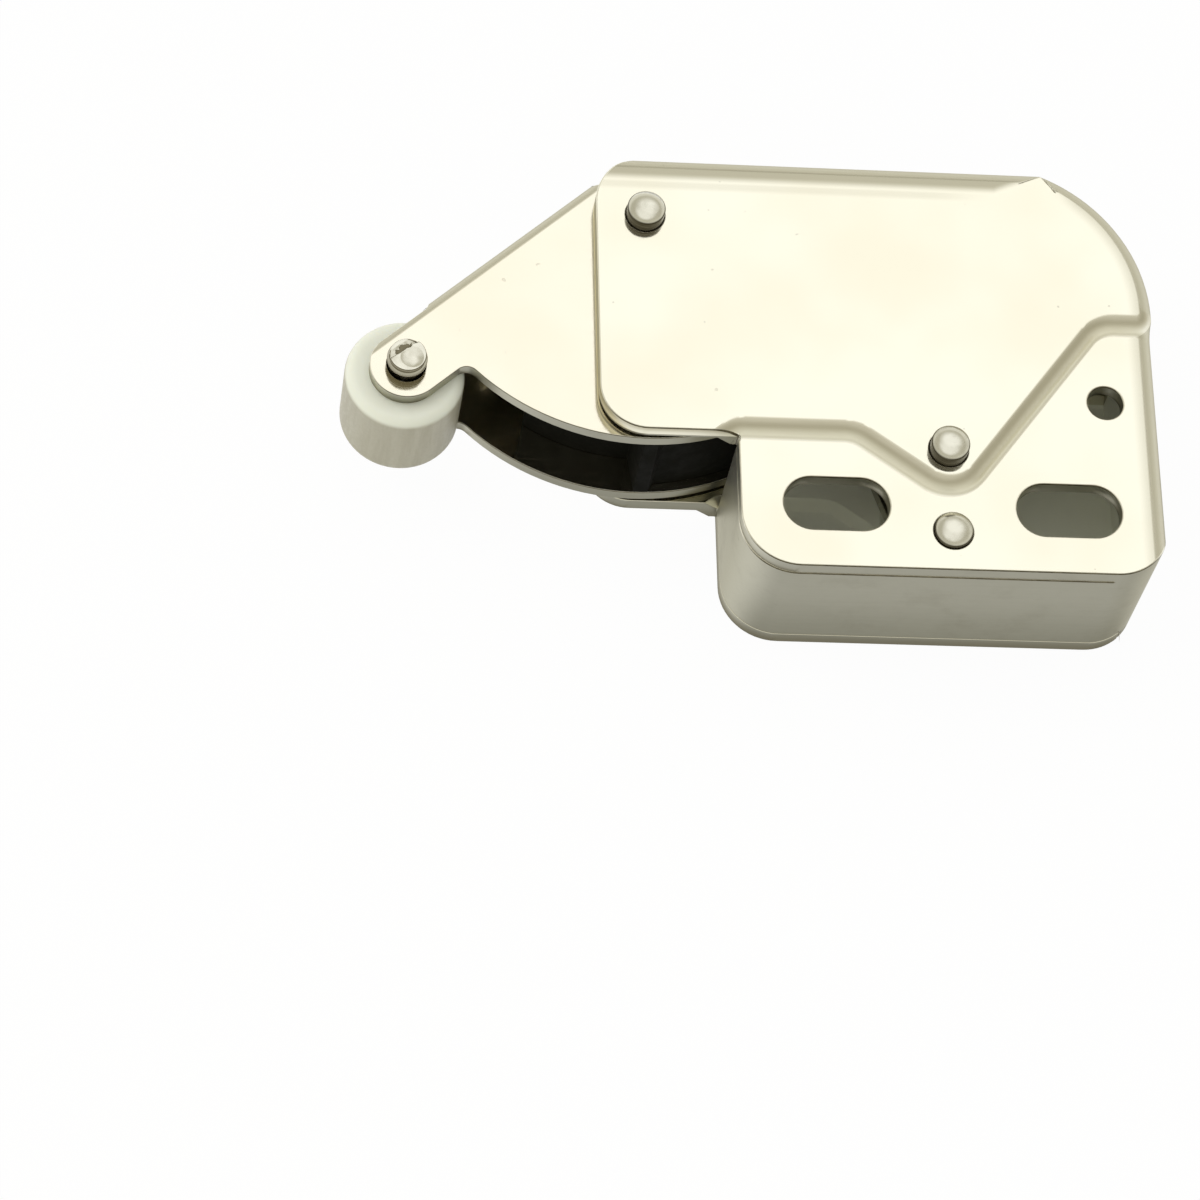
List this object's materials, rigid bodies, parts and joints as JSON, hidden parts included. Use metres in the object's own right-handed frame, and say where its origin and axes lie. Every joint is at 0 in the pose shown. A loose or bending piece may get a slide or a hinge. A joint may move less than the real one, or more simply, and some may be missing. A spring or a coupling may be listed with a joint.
{
  "type": "push to open catch",
  "caption": "Push to open cabinet catch: plated sheet case, sprung folded arm with a roller, cam and lever inside, slotted screw holes.",
  "frame": {"origin": "on the mounting face, midway between the two screw slots", "axes": "+Z out of the mounting face towards the front plate, +X along the slots away from the roller, +Y towards the top of the case"},
  "size_m": [0.056, 0.031, 0.0143],
  "materials": {
    "nickel_case": "bright warm nickel plate",
    "nickel_arm": "bright warm nickel plate",
    "rivet_steel": "nickel plated rivet, slightly dull",
    "bush_steel": "turned steel",
    "lever_steel": "zinc plated sheet",
    "spring_steel": "bright spring wire",
    "washer_nylon": "natural nylon",
    "roller_nylon": "white nylon, satin",
    "cam_plastic": "black moulded acetal"
  },
  "bodies": {
    "case": {"case_front": "nickel_case", "case_back": "nickel_case", "arm_rivet": "rivet_steel", "lever_rivet": "rivet_steel", "foot_rivet": "rivet_steel", "arm_bush": "bush_steel", "lever_bush": "bush_steel", "foot_spacer": "bush_steel", "arm_washer_back": "washer_nylon", "arm_washer_front": "washer_nylon", "lever_spacer_back": "washer_nylon", "lever_spacer_front": "washer_nylon", "arm_spring": "spring_steel", "lever_spring": "spring_steel"},
    "arm": {"arm": "nickel_arm", "roller_pin": "rivet_steel", "cam_block": "cam_plastic", "cam_pin_lower": "bush_steel", "cam_pin_upper": "bush_steel"},
    "roller": {"roller": "roller_nylon"},
    "lever": {"lever": "lever_steel", "nose_pin": "bush_steel"},
    "nose": {"nose_roller": "washer_nylon"}
  },
  "joints": [
    {"name": "arm_swing", "type": "hinge", "parent": "case", "child": "arm", "pos_m": [-0.02065, 0.02145, 0], "axis": [0, 0, 1], "range_deg": [0, 38], "stiffness_Nm_per_rad": 0.02, "springref_deg": -20.05, "deforming": ["arm_spring"]},
    {"name": "roller_spin", "type": "hinge", "parent": "arm", "child": "roller", "pos_m": [-0.0371, 0.00987, 0], "axis": [0, 0, 1], "continuous": true},
    {"name": "lever_swing", "type": "hinge", "parent": "case", "child": "lever", "pos_m": [-0.0003, 0.00395, 0], "axis": [0, 0, 1], "range_deg": [0, 23], "deforming": ["lever_spring"]},
    {"name": "nose_spin", "type": "hinge", "parent": "lever", "child": "nose", "pos_m": [-0.00471, 0.01187, 0], "axis": [0, 0, 1], "continuous": true}
  ],
  "couplings": [
    {"joint": "lever_swing", "follows": "arm_swing", "ratio": 0.6}
  ]
}
